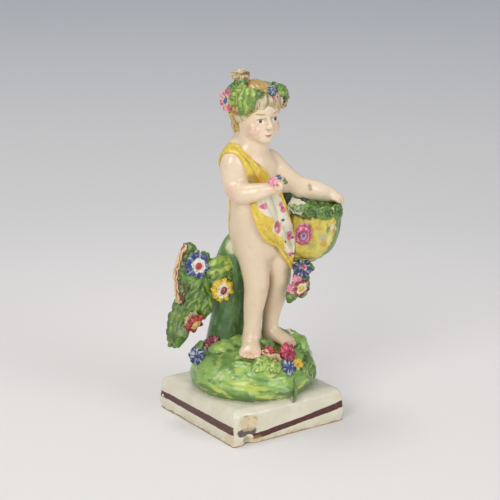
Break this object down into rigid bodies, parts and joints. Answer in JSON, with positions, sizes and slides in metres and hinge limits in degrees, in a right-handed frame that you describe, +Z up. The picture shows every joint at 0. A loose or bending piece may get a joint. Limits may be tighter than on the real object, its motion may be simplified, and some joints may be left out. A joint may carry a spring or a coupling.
{
  "type": "pearlware figure of a child with a flower basket",
  "caption": "Glazed earthenware figure of a standing child in a wreath and shoulder cloth, leaning on a flower basket before a tree stump, on a mound and square plinth.",
  "frame": {"origin": "centre of the plinth's square underside", "axes": "+Z up, -Y the way the child faces, +X towards the child's left hand and the basket"},
  "size_m": [0.0664, 0.053, 0.1434],
  "materials": {
    "painted_pearlware": "glossy lead glaze over painted enamel colours",
    "banded_pearlware": "glossy cream glaze with a brushed dark band, worn and chipped at one corner"
  },
  "bodies": {
    "root": {"figure": "painted_pearlware", "plinth": "banded_pearlware"}
  },
  "joints": []
}
